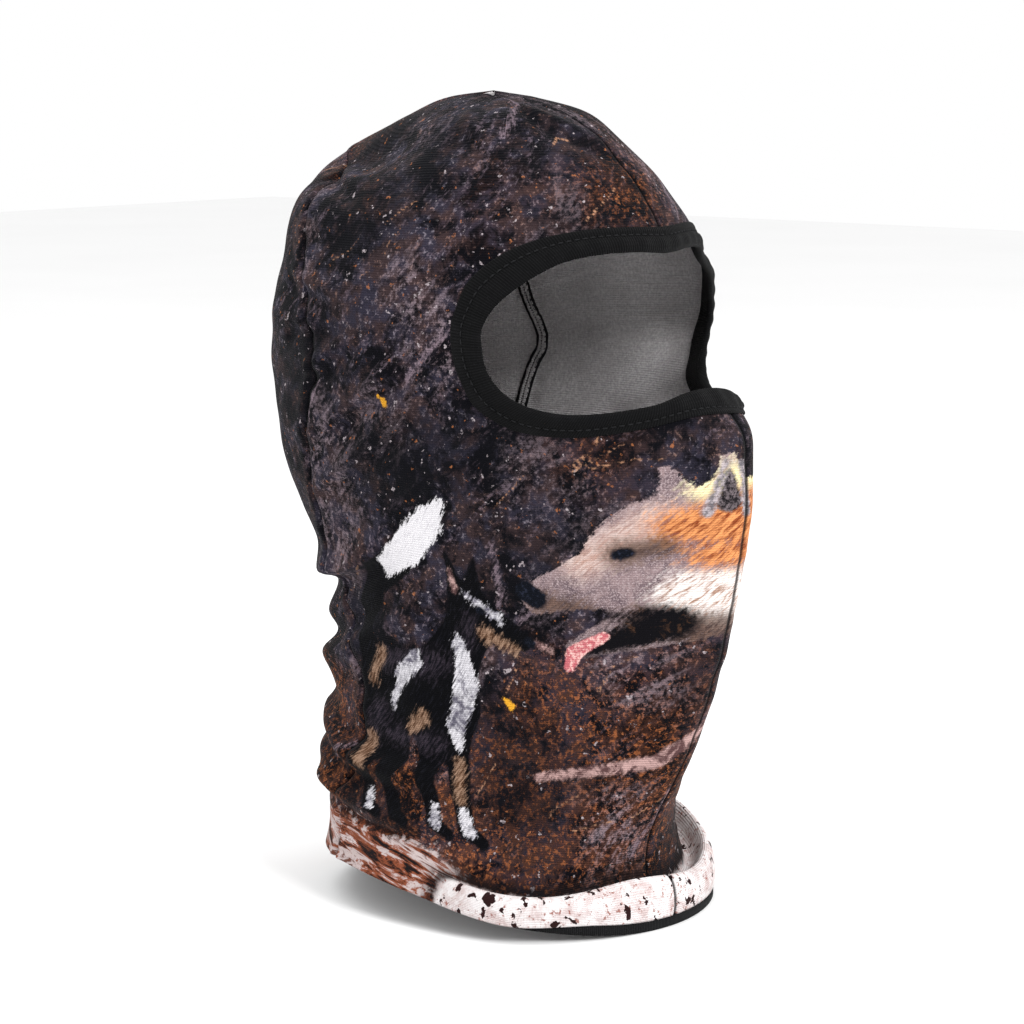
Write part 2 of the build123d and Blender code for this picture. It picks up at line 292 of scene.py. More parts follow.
# ------------ folds
# A fold is a curve through a few places (azimuth, height), then its lobes as (distance
# above the curve, width, height along the normal, drop), then the shares of its two
# ends over which it fades.
FOLDS = (
    ([(195, 130), (135, 136), (95, 150), (45, 195)],
     [(5, 5, 3.2, 4.0), (-5, 6, -3.6, 0)], (0.3, 0.55)),
    ([(195, 104), (145, 105), (100, 124), (50, 155)],
     [(-6, 6, 3.6, -1), (5, 5, -2.6, 0)], (0.3, 0.5)),
    ([(120, 218), (90, 240)], [(3, 3.5, 2.3, 0), (-3, 4, -2.1, 0)], (0.1, 0.7)),
    ([(118, 195), (98, 208), (66, 238)], [(3, 3.5, 2.4, 0), (-3, 4, -2.2, 0)], (0.3, 0.4)),
    ([(130, 165), (95, 190), (60, 230)], [(2.5, 3.5, 2.8, 0), (-4, 4.5, -2.6, 0)], (0.3, 0.3)),
    ([(100, 158), (75, 176), (48, 208)], [(2, 3, 1.7, 0), (-3, 4, -1.7, 0)], (0.3, 0.3)),
    ([(80, 152), (60, 170), (36, 198)], [(2, 3, 1.5, 0), (-3, 4, -1.5, 0)], (0.4, 0.3)),
    ([(60, 150), (15, 185)], [(0, 3.5, 1.1, 0), (-6, 4, -1.0, 0)], (0.4, 0.5)),
    ([(135, 262), (90, 250)], [(0, 3.5, 1.6, 0), (-5, 4, -1.3, 0)], (0.1, 0.6)),
    ([(132, 240), (98, 244)], [(0, 3, 1.4, 0), (-4, 3.5, -1.2, 0)], (0.05, 0.7)),
    ([(150, 306), (96, 289)], [(2.5, 3.0, 1.9, 0), (-3, 3.5, -2.8, 0)], (0.05, 0.7)),
    ([(80, 326), (42, 312)], [(0, 4, 1.6, 0), (-6, 4, -1.3, 0)], (0.3, 0.5)),
    ([(30, 330), (-8, 308)], [(0, 4, 1.8, 0), (-5, 4, -1.6, 0)], (0.2, 0.5)),
    ([(160, 76), (105, 54), (50, 56)],
     [(0, 6, 2.8, 0), (-10, 6, -3.0, 0), (11, 6, -1.8, 0)], (0.05, 0.6)),
    ([(150, 40), (95, 29), (44, 44)], [(0, 4.5, 3.0, 0), (-7, 4.5, -2.0, 0)], (0.1, 0.5)),
    ([(120, 92), (60, 122)], [(0, 4, 1.4, 0), (-5, 4, -1.4, 0)], (0.3, 0.4)),
    ([(-65, 150), (-120, 120), (-180, 107)], [(5, 6, 3.0, 3.0), (-6, 6, -3.0, 0)], (0.4, 0)),
    ([(-60, 206), (-115, 172)], [(3, 4, 1.8, 0), (-4, 5, -1.6, 0)], (0.4, 0.4)),
    ([(-50, 60), (-140, 40)], [(0, 6, 2.4, 0), (-10, 6, -2.0, 0)], (0.4, 0.3)),
)
# Broad swellings of the worn shape: azimuth, height, reach of each, size and drop.
SWELLS = (
    (-14, 178, 10, 44, -4.5, 0), (-30, 172, 16, 44, -7.5, 0), (-52, 182, 14, 34, -3.0, 0),
    (-66, 250, 22, 32, 19.0, 0), (-8, 220, 26, 13, -2.5, 5.0),
    (145, 52, 40, 22, 3.0, 0), (160, 98, 40, 12, 2.0, 0), (170, 150, 40, 12, -1.5, 0),
    (140, -8, 50, 20, -1.5, 0), (138, 312, 36, 13, -10.0, 0), (60, 331, 70, 6, -2.5, 0),
    (150, 118, 40, 8, 2.0, 0), (-34, 322, 24, 7, 3.0, 0), (30, 324, 22, 6, 1.5, 0),
    (60, 100, 26, 26, -1.5, 0), (30, 120, 20, 24, 1.5, 0),
)


def segment_distance(x, z, points):
    """Signed distance above an open line, and how far along it (0 to 1)."""
    lengths = np.linalg.norm(np.diff(points, axis=0), axis=1)
    starts = run_along(points)
    best = np.full(x.shape, np.inf)
    signed, along = np.zeros(x.shape), np.zeros(x.shape)
    for k, size in enumerate(lengths):
        dx, dz = (points[k + 1] - points[k]) / size
        px, pz = x - points[k][0], z - points[k][1]
        t = px * dx + pz * dz
        inner = np.clip(t, 0, size)
        far = np.hypot(px - dx * inner, pz - dz * inner)
        side = np.where((pz * dx - px * dz) * (1 if dx > 0 else -1) >= 0, 1, -1)
        closer = far < best
        best = np.where(closer, far, best)
        signed = np.where(closer, far * side, signed)
        along = np.where(closer, (starts[k] + inner) / starts[-1], along)
    return signed, along


def waves(points, size, seed, count=12, squash=(1, 1, 1)):
    """A soft random field with features of about a size, near -1 to 1."""
    rng = np.random.default_rng(seed)
    direction = rng.normal(size=(count, 3))
    direction /= np.linalg.norm(direction, axis=1)[:, None]
    direction = direction * squash
    rate = 2 * math.pi / (size * rng.uniform(0.8, 1.7, count))
    phase = rng.uniform(0, 2 * math.pi, count)
    total = np.sin((points @ direction.T) * rate + phase).sum(-1)
    return total / math.sqrt(count)


def fold_shift(points, normals, azimuth, height):
    """How far the folds, swellings and soft waves move places of the wall."""
    push = np.zeros(azimuth.shape)
    drop = np.zeros(azimuth.shape)
    for places, lobes, (start, end) in FOLDS:
        line = np.array([(a * X_PER_DEG, h) for a, h in places], float)
        line = through(line, np.linspace(0, 1, 3 * len(line)))
        wrapped = azimuth
        if line[:, 0].max() > 180 * X_PER_DEG:
            wrapped = np.where(azimuth < -90, azimuth + 360, azimuth)
        if line[:, 0].min() < -179 * X_PER_DEG:
            wrapped = np.where(azimuth > 170, azimuth - 360, azimuth)
        away, along = segment_distance(wrapped * X_PER_DEG, height, line)
        strength = smooth((1 - along) / max(end, 0.001)) * smooth(along / max(start, 0.001))
        strength = np.where((along <= 0) & (start == 0), np.exp(-(away / 8) ** 2), strength)
        for offset, width, tall, fall in lobes:
            lobe = strength * np.exp(-(((away - offset) / width) ** 2))
            push += tall * lobe
            drop += fall * lobe
    for at, tall, wide, high, size, fall in SWELLS:
        around = (azimuth - at + 180) % 360 - 180
        swell = np.exp(-((around / wide) ** 2) - ((height - tall) / high) ** 2)
        push += size * swell
        drop += fall * swell
    calm = 1 - 0.75 * smooth((np.cos(np.radians(azimuth)) - 0.75) / 0.25)
    soft = 0.7 * waves(points, 40, 3, squash=(1, 1, 1.6)) + 0.35 * waves(points, 17, 4)
    low = smooth((150 - height) / 60) * smooth((height - 12) / 30)
    soft += 0.8 * low * waves(points, 30, 9, squash=(1, 1, 2.2))
    push += soft * calm * smooth((TOP - height) / 30) * smooth((height + 5) / 25)
    return normals * push[..., None] - drop[..., None] * np.array([0, 0, 1.0])


def seam_groove(azimuth, height, seam):
    """The jersey dips into its seams and puffs and puckers beside them."""
    to_back = np.abs(np.abs(azimuth) - seam) * 1.4
    to_front = np.abs(azimuth) * 1.4 * smooth((TOP - height) / 14)
    to_front = np.where(height > TOP - 2, 9, to_front)
    pucker = 0.35 * np.sin(height / 1.9 + 2 * np.sin(height / 11.0))
    back = -1.7 * np.exp(-((to_back / 1.3) ** 2)) + 0.6 * np.exp(-(((to_back - 4.5) / 3) ** 2))
    back += pucker * np.exp(-(((to_back - 4) / 3) ** 2))
    front = -0.8 * np.exp(-((to_front / 1.0) ** 2))
    front += 0.5 * pucker * np.exp(-(((to_front - 3) / 2.5) ** 2))
    return back + front


# ------------ meshes
def mesh_object(name, points, faces, uvs=None):
    mesh = bpy.data.meshes.new(name)
    faces = faces.tolist() if isinstance(faces, np.ndarray) else faces
    mesh.from_pydata((np.asarray(points) * MM).tolist(), [], faces)
    if uvs is not None:
        layer = mesh.uv_layers.new(name="print")
        loops = np.zeros(len(mesh.loops), np.int32)
        mesh.loops.foreach_get("vertex_index", loops)
        layer.data.foreach_set("uv", uvs[loops].astype(np.float32).ravel())
    mesh.polygons.foreach_set("use_smooth", np.ones(len(mesh.polygons), bool))
    mesh.update()
    obj = bpy.data.objects.new(name, mesh)
    bpy.context.scene.collection.objects.link(obj)
    return obj


def grid_faces(rows, columns, wrap=False):
    """Quads of a grid, wound so that they face outward."""
    r = np.arange(rows - 1)[:, None]
    c = np.arange(columns if wrap else columns - 1)[None, :]
    right = (c + 1) % columns
    corners = [r * columns + c, (r + 1) * columns + c, (r + 1) * columns + right,
               r * columns + right]
    return np.stack(corners, -1).reshape(-1, 4)


def store(obj, name, values):
    layer = obj.data.attributes.new(name, "FLOAT", "POINT")
    layer.data.foreach_set("value", np.asarray(values, np.float32).ravel())


def apply_modifiers(obj):
    graph = bpy.context.evaluated_depsgraph_get()
    mesh = bpy.data.meshes.new_from_object(
        obj.evaluated_get(graph), preserve_all_data_layers=True, depsgraph=graph)
    old = obj.data
    obj.modifiers.clear()
    obj.data = mesh
    bpy.data.meshes.remove(old)
    mesh.name = obj.name


def thicken(obj, thickness):
    """Gives cloth its thickness inward; the back and the edges take the second slot."""
    solid = obj.modifiers.new("cloth", "SOLIDIFY")
    solid.thickness = thickness * MM
    solid.offset = -1
    solid.material_offset = 1
    solid.material_offset_rim = 1
    apply_modifiers(obj)


def opening_outline(share, count=360):
    """The eye opening between its binding's outer edge (0) and inner edge (1)."""
    half = BINDING_OUTER * (1 - share) + BINDING_INNER * share
    loop = np.concatenate([half * (-1, 1), half[-2:0:-1]])
    return through(loop, np.arange(count) / count, closed=True)


def inside_distance(x, z, outline):
    """Signed distance to a closed outline, positive inside."""
    inside = np.zeros(x.shape, bool)
    best = np.full(x.shape, np.inf)
    for (x0, z0), (x1, z1) in zip(outline, np.roll(outline, -1, axis=0)):
        crosses = (z0 > z) != (z1 > z)
        at = x0 + (z - z0) * (x1 - x0) / (z1 - z0 if z1 != z0 else 1e-9)
        inside ^= crosses & (x < at)
        dx, dz = x1 - x0, z1 - z0
        t = np.clip(((x - x0) * dx + (z - z0) * dz) / max(dx * dx + dz * dz, 1e-9), 0, 1)
        best = np.minimum(best, np.hypot(x - x0 - t * dx, z - z0 - t * dz))
    return np.where(inside, best, -best)


# ------------ the print
# A made-up scene in millimetres: x runs round the cloth, positive on the wearer's right,
# and z is the height.  Every shape is a limb: a chain of round joints (x, z, radius)
# with straight tapering sides.  A standing dog and a tawny head are put together from
# limbs, and the ground under them is strewn at random.
PRINT = {
    "black": [
        [(108, 92, 21), (134, 96, 16), (149, 94, 18)],
        [(105, 104, 16), (90, 124, 11)], [(88, 129, 10.5), (78, 125, 7), (64, 119, 4.4)],
        [(94, 138, 4.6), (98, 153, 1)], [(86, 139, 4), (84, 152, 1)],
        [(103, 84, 11), (98, 60, 6), (95, 34, 4), (87, 30, 3)],
        [(113, 82, 11), (117, 58, 5.6), (112, 35, 3.8), (105, 31, 3)],
        [(149, 88, 16), (155, 66, 9), (160, 52, 5), (153, 34, 4), (146, 31, 3)],
        [(141, 84, 15), (137, 64, 8), (143, 50, 5), (135, 34, 4), (128, 31, 3)],
        [(157, 106, 6), (160, 124, 7), (146, 140, 8), (126, 150, 8)],
    ],
    "white": [
        [(136, 146, 5), (120, 155, 8.5), (106, 166, 7), (98, 174, 2)],
        [(98, 116, 3.5), (94, 100, 6.5), (100, 82, 5), (98, 72, 2)],
        [(124, 108, 4), (136, 99, 3.5), (140, 88, 2)],
        [(96, 42, 2.6), (94, 34, 3)], [(112, 42, 2.2), (111, 35, 2.6)],
        [(154, 40, 2.6), (152, 34, 2.8)], [(90, 137, 1.2), (74, 127, 1.8)],
    ],
    "snowy": [[(138, 145, 9), (120, 155, 13), (102, 170, 11)]],
    "tan": [
        [(83, 121, 3), (68, 115, 2)], [(98, 64, 3.4), (97, 48, 2.8)],
        [(156, 70, 4), (159, 54, 3)], [(120, 84, 4), (128, 79, 3)], [(148, 108, 3), (156, 98, 3)],
    ],
    "gleam": [[(112, 107, 4), (146, 107, 4)], [(98, 108, 3), (90, 124, 3)],
              [(150, 84, 5), (155, 68, 3)], [(110, 72, 4), (140, 74, 4)]],
    "pink": [[(-20, 96, 2), (12, 70, 3), (58, 62, 1.6)], [(95, 139, 1.8), (97, 147, 0.7)],
             [(58, 118, 1.6), (52, 116, 0.8)]],
    "head": [
        [(-72, 142, 36), (-30, 152, 38), (0, 154, 31), (16, 156, 25)],
        [(24, 152, 19), (40, 145, 11), (56, 138, 7)], [(14, 132, 12), (42, 117, 4)],
        [(6, 176, 7), (6, 194, 2.4)], [(18, 177, 5), (22, 190, 1.8)],
    ],
    "brow": [[(22, 170, 7), (42, 153, 6)]],
    "cheek": [[(12, 140, 10), (-18, 138, 14), (-50, 138, 14)]],
    "yellow": [[(2, 186, 6), (-24, 188, 8), (-64, 180, 9)], [(12, 182, 4), (-4, 190, 6)]],
    "orange": [[(18, 168, 7), (2, 170, 12), (-24, 168, 13), (-62, 158, 12)],
               [(10, 156, 5), (-10, 158, 8)]],
    "gloom": [[(24, 130, 5), (2, 124, 8), (-40, 116, 9)], [(32, 157, 5), (22, 160, 4)],
              [(56, 136, 5), (40, 134, 3)]],
    "jaw": [[(16, 128, 7), (42, 116, 3.4)], [(44, 130, 1.4), (20, 133, 1.6)]],
    "ear": [[(6, 177, 4), (6, 189, 1)]],
    "flap": [[(0, 172, 2), (2, 192, 1)], [(12, 173, 1.6), (7, 193, 0.8)]],
    "dark": [[(61, 140, 4.4), (57, 137, 4)], [(32, 156.5, 2.6), (30, 157.2, 2)],
             [(61, 119, 2.4), (60, 118, 2)], [(84, 131, 1.4), (82, 130, 1.4)]],
    "mouth": [[(34, 123, 2), (43, 116, 3), (45, 110, 2.2)]],
    "leaf": [[(70, 92, 1.8), (74, 95, 0.6)], [(124, 212, 1.6), (128, 215, 0.5)]],
}
MELT = 2.0                  # how softly limbs run into one another
# Seed, count, least and most length, and half width of each kind of litter.
LITTER = {"twig": (5, 70, (9, 24), 0.4), "streak": (6, 12, (22, 46), 0.8)}


def limb(x, z, joints):
    """Signed distance to a chain of round joints, positive inside."""
    best = np.full(x.shape, -np.inf)
    for (x0, z0, r0), (x1, z1, r1) in zip(joints, joints[1:]):
        dx, dz = x1 - x0, z1 - z0
        t = np.clip(((x - x0) * dx + (z - z0) * dz) / (dx * dx + dz * dz), 0, 1)
        best = np.maximum(best, r0 + (r1 - r0) * t - np.hypot(x - x0 - t * dx, z - z0 - t * dz))
    return best


def strewn(seed, count, reach, half):
    """Crooked lines at random over the whole cloth, as limbs."""
    rng = np.random.default_rng(seed)
    lines = []
    for _ in range(count):
        place = rng.uniform((-210, 25), (300, 325))
        turn = rng.uniform(0.2, 1.3)
        joints = [(*place, half)]
        for _bend in range(2):
            place = place + rng.uniform(*reach) / 2 * np.array([-math.cos(turn), math.sin(turn)])
            turn += rng.uniform(-0.7, 0.7)
            joints.append((*place, half * 0.7))
        lines.append(joints)
    return lines


def stains(x, z):
    """Broad tints of the ground: rusty low down and over the brow, pale and dark in drifts."""
    place = np.stack([x, 0 * x, z], -1)
    brow = np.exp(-(((x - 25) / 32) ** 2) - ((z - 298) / 18) ** 2)
    rust = 0.35 * waves(place, 60, 21) + 1.2 * smooth((130 - z) / 70) + brow - 0.1
    return {"rust": rust, "shade": 0.7 * waves(place, 55, 22) + 0.3,
            "pale": 0.8 * waves(place, 48, 23) - 0.05}


def paint(obj, x, z, rim, seam):
    """Stores the distances and stains of the print on a piece's points."""
    for name, limbs in PRINT.items():
        total = sum(np.exp(limb(x, z, joints) / MELT) for joints in limbs)
        store(obj, name, np.clip(MELT * np.log(np.maximum(total, 1e-9)), -9, 9))
    for name, how in LITTER.items():
        nearest = np.max([limb(x, z, joints) for joints in strewn(*how)], axis=0)
        store(obj, name, np.clip(nearest, -9, 9))
    for name, strength in stains(x, z).items():
        store(obj, name, np.clip(strength, 0, 1))
    store(obj, "rim", rim)
    store(obj, "seam", seam)
    store(obj, "marbled", smooth((x - 92) / 12) + smooth((-60 - x) / 20))


def panel(name, azimuth, keep_rows=None, cut_eye=True, shift=0.0):
    """A panel of cloth on a grid of azimuths (rows, columns)."""
    turned = np.where(azimuth > 180, azimuth - 360, azimuth)
    rest = wall(turned)
    normals = wall_normals(turned)
    height = np.broadcast_to(ROWS.height[:, None], azimuth.shape)
    points = rest + fold_shift(rest, normals, turned, height)
    points += normals * seam_groove(turned, height, ROWS.seam[:, None])[..., None]
    faces = grid_faces(*azimuth.shape)
    gone = np.zeros(azimuth.shape, bool)
    if keep_rows is not None:
        gone |= ~keep_rows[:, None]
    if cut_eye:
        hole = opening_outline(0.5)
        gone |= (inside_distance(rest[..., 0], rest[..., 2], hole) > 0) & (rest[..., 1] < 0)
    faces = faces[~gone.ravel()[faces].any(1)]
    used, faces = np.unique(faces, return_inverse=True)
    x = (azimuth * X_PER_DEG + shift).reshape(-1)[used]
    z = height.reshape(-1)[used]
    obj = mesh_object(name, points.reshape(-1, 3)[used], faces.reshape(-1, 4),
                      np.stack([x, z], -1) * MM)
    on_lip = np.zeros(ROWS.count)
    on_lip[len(ROWS.z):] = ROWS.lip
    rim = np.broadcast_to(on_lip[:, None], azimuth.shape) * roll(turned)
    near = np.abs(np.abs(turned) - ROWS.seam[:, None]) * 1.4
    near = np.minimum(near, np.abs(turned) * 1.4 + 20 * smooth((height - 318) / 12))
    paint(obj, x, z, rim.reshape(-1)[used], near.reshape(-1)[used])
    return obj


def make_panels():
    share = np.linspace(0, 1, int(205 / STEP))[None, :]
    side = ROWS.seam[:, None] * share
    around = np.linspace(0, 1, int(150 / STEP))[None, :]
    back = ROWS.seam[:, None] * (1 - around) + (360 - ROWS.seam[:, None]) * around
    return (
        panel("right_side_panel_cloth", side[:, ::-1]),
        panel("left_side_panel_cloth", -side),
        panel("back_panel_cloth", back[:, ::-1], ROWS.seam < 180, False, 30.0),
    )


# ------------ binding and threads
# The folded tape in section: share of the way across, and height over the jersey.
TAPE_SECTION = np.array([
    (0.00, 0.08), (-0.03, 0.5), (0.02, 0.95), (0.12, 1.08), (0.22, 0.95), (0.29, 0.55),
    (0.33, 0.5), (0.38, 0.9), (0.47, 1.45), (0.6, 1.75), (0.74, 1.75), (0.87, 1.4),
    (0.97, 0.75), (1.02, -0.1), (1.0, -1.1), (0.92, -1.9), (0.78, -2.3), (0.5, -2.35),
    (0.25, -2.2), (0.05, -2.25), (0.0, -1.8), (0.03, -1.32), (0.3, -1.28), (0.56, -1.26),
    (0.6, -0.6), (0.56, 0.04), (0.3, 0.06)])
TAPE_TOP = 9                # the point of the section on top of the tape
TAPE_WIDTH = 9.5
HEM_LENGTH = 500.0          # round the hem, for the weave of the facing


def on_front(x, z):
    """Azimuth of places seen from the front."""
    y = front_y(x, z)
    shift = section(z)[3]
    return np.degrees(np.arctan2(-x, -(y + MID_Y) - shift))


def worn(azimuth, z, depth=0.0):
    """Where places on the body of the garment end up, at a depth under the face."""
    point, normal = skin(azimuth, z)
    moved = point + fold_shift(point, normal, azimuth, z)
    return moved - normal * np.asarray(depth)[..., None], normal


def tube_faces(rings, around, closed=False):
    """Faces of a tube that runs into itself when closed, and is shut at its ends if not."""
    faces = grid_faces(rings, around, wrap=True).tolist()
    last = (rings - 1) * around
    k = np.arange(around)
    if closed:
        nxt = (k + 1) % around
        return faces + np.stack([last + k, k, nxt, last + nxt], -1).tolist()
    return faces + [k.tolist(), (last + k[::-1]).tolist()]


def make_tape(name, points, run, across):
    """A closed ring of tape from its sections, with the weave laid along it."""
    uv = np.stack(np.meshgrid(run, across, indexing="ij"), -1).reshape(-1, 2) * MM
    faces = tube_faces(*points.shape[:2], closed=True)
    obj = mesh_object(name, points.reshape(-1, 3), faces, uv)
    recalculate(obj)
    return obj


def make_binding():
    count = 640
    outer, inner = opening_outline(0.0, count), opening_outline(1.0, count)
    points = []
    for share, tall in TAPE_SECTION:
        place = outer + (inner - outer) * share
        pull = 0.25 * np.sin(np.arange(count) * 2 * math.pi / count * 47) * (0.4 < share < 1.1)
        azimuth = on_front(place[:, 0], place[:, 1])
        moved, _ = worn(azimuth, place[:, 1], -(tall + pull * (tall > 0.8)))
        points.append(moved)
    points = np.stack(points, 1)
    across = run_along(TAPE_SECTION * (TAPE_WIDTH, 1))
    return make_tape("eye_opening_binding_tape", points, run_along(points[:, TAPE_TOP]), across)


def recalculate(obj):
    """Turns a closed mesh's faces outward."""
    work = bmesh.new()
    work.from_mesh(obj.data)
    bmesh.ops.recalc_face_normals(work, faces=work.faces)
    work.to_mesh(obj.data)
    work.free()


def tube(path, normal, radius, sides, flat=1.0):
    """Vertices and faces of a thread along a path; it tapers shut at both ends."""
    along = np.gradient(path, axis=0)
    along /= np.maximum(np.linalg.norm(along, axis=1, keepdims=True), 1e-9)
    side = np.cross(normal, along)
    side /= np.maximum(np.linalg.norm(side, axis=1, keepdims=True), 1e-9)
    up = np.cross(along, side)
    radius = np.broadcast_to(radius, len(path)).copy()
    radius[[0, -1]] *= 0.3
    turn = np.arange(sides) * 2 * math.pi / sides
    ringed = (path[:, None] + side[:, None] * (np.cos(turn)[None, :] * radius[:, None])[..., None]
              + up[:, None] * (np.sin(turn)[None, :] * radius[:, None] * flat)[..., None])
    return ringed.reshape(-1, 3), tube_faces(len(path), sides)


def join_parts(name, parts):
    points, faces, start = [], [], 0
    for p, f in parts:
        points.append(p)
        faces.extend([[i + start for i in face] for face in f])
        start += len(p)
    obj = mesh_object(name, np.concatenate(points), faces)
    recalculate(obj)
    return obj


def make_stitches(name, path, normal, pitch, length, radius):
    """Separate stitches lying along a closed line."""
    run = run_along(path)
    arch = np.array([-0.25, 0.05, 0.2, 0.2, 0.05, -0.25])
    parts = []
    for k in range(int(run[-1] / pitch)):
        at = np.linspace(k * pitch, k * pitch + length, len(arch))
        line, up = (np.stack([np.interp(at, run, column) for column in values.T], -1)
                    for values in (path, normal))
        parts.append(tube(line + up * arch[:, None], up, radius, 6, 0.8))
    return join_parts(name, parts)


def make_eye_stitches():
    line = opening_outline(0.31, 900)
    azimuth = on_front(line[:, 0], line[:, 1])
    path, normal = worn(azimuth, line[:, 1], -0.62 + 0 * azimuth)
    return make_stitches("eye_binding_stitching_thread", path, normal, 3.3, 2.5, 0.33)


def make_overlock(name, azimuth, z):
    """A band of looped thread under a seam given as places on the wall."""
    rough, _ = worn(azimuth, z)
    run = run_along(rough)
    at = np.linspace(0, run[-1], int(run[-1] / 0.6))
    azimuth, z = np.interp(at, run, azimuth), np.interp(at, run, z)
    centre, normal = skin(azimuth, z)
    along = np.gradient(centre, axis=0)
    side = np.cross(normal, along)
    side /= np.linalg.norm(side, axis=1, keepdims=True)
    by_turn = skin(azimuth + 0.5, z)[0] - skin(azimuth - 0.5, z)[0]
    by_height = skin(azimuth, z + 0.5)[0] - skin(azimuth, z - 0.5)[0]
    basis = np.stack([by_turn, by_height], -1)
    step = np.stack([np.linalg.lstsq(b, s, rcond=None)[0] for b, s in zip(basis, side)])

    def lane(offset, depth):
        return worn(azimuth + offset * step[:, 0], z + offset * step[:, 1], depth + 0 * azimuth)

    profile = [(-2.9, 0.02), (-2.4, 0.3), (0, 0.42), (2.4, 0.3), (2.9, 0.02)]
    base = [lane(u, FABRIC + 0.06 + h)[0] for u, h in profile]
    base += [lane(u, FABRIC + 0.04)[0] for u, _ in profile[::-1]]
    parts = [(np.stack(base, 1).reshape(-1, 3), tube_faces(len(at), len(base)))]
    sway = 2.5 * np.sin(at * 2 * math.pi / 2.4)
    for wave in (sway, np.full(len(at), -1.2), np.full(len(at), 1.6)):
        parts.append(tube(*lane(wave, FABRIC + 0.62), 0.22, 5))
    return join_parts(name, parts)


def make_overlocks():
    z = np.linspace(283.5, 332.4, 120)
    front = make_overlock("crown_front", np.zeros(120), z)
    behind = make_overlock("crown_behind", np.full(60, 180.0), np.linspace(331.5, 317.0, 60))
    merge(front, behind)
    front.name = front.data.name = "crown_seam_overlock_thread"
    chin_z = np.linspace(28.0, 213.5, 300)
    chin = make_overlock("chin_seam_overlock_thread", np.zeros(300), chin_z)
    seam = ROWS.seam[:len(ROWS.z)]
    rows = (ROWS.z > 26.5) & (seam < 180)
    back_z, back_az = ROWS.z[rows], seam[rows]
    right = make_overlock("back_seam_overlock_right_thread", back_az, back_z)
    left = make_overlock("back_seam_overlock_left_thread", -back_az, back_z)
    return front, chin, right, left


def merge(target, other):
    """Adds another object's mesh to a piece."""
    work = bmesh.new()
    work.from_mesh(target.data)
    work.from_mesh(other.data)
    work.to_mesh(target.data)
    work.free()
    old = other.data
    bpy.data.objects.remove(other)
    bpy.data.meshes.remove(old)


def make_facing():
    """Black tape behind the rolled lip, with a foot under the end of the jersey."""
    columns = 520
    azimuth = np.broadcast_to(np.linspace(-180, 180, columns, endpoint=False)[None, :],
                              (ROWS.count, columns))
    rest, normals = wall(azimuth), wall_normals(azimuth)
    height = np.broadcast_to(ROWS.height[:, None], azimuth.shape)
    rest = rest + fold_shift(rest, normals, azimuth, height)
    first = len(ROWS.z) + int(len(ROWS.lip) * 0.66)
    picked = np.unique(np.linspace(first, ROWS.count - 1, 8).astype(int))
    near = rest[picked] - normals[picked] * (FABRIC + 0.05)
    far = rest[picked] - normals[picked] * (FABRIC + 0.05 + TAPE)
    end = rest[-1]
    outward = normals[-1] * (1, 1, 0)
    outward /= np.linalg.norm(outward, axis=1, keepdims=True)
    shown = foot_shown(azimuth[0])[:, None]
    floor = end[:, 2:3] - FOOT_SHOWN * shown
    corner = np.concatenate([near[-1][:, :2], end[:, 2:3] - 0.06], 1)
    lip_out = end + outward * (-0.2 - 1.6 * (1 - shown)) - (0, 0, 0.06)
    bottom_out = np.concatenate([lip_out[:, :2], floor + 0.35], 1)
    bottom_edge = np.concatenate([(lip_out - outward * 0.5)[:, :2], floor], 1)
    bottom_in = np.concatenate([far[-1][:, :2], floor], 1)
    loop = list(near) + [corner, lip_out, bottom_out, bottom_edge, bottom_in] + list(far[::-1])
    points = np.stack(loop, 1)
    run = np.arange(columns) * HEM_LENGTH / columns
    obj = make_tape("hem_facing_tape", points, run, run_along(points[columns // 2]))
    row = picked[-3]
    path = rest[row] - normals[row] * (FABRIC + 0.05 + TAPE + 0.2)
    thread = make_stitches("hem_facing_stitching_thread", path, -normals[row], 3.0, 2.3, 0.3)
    return obj, thread


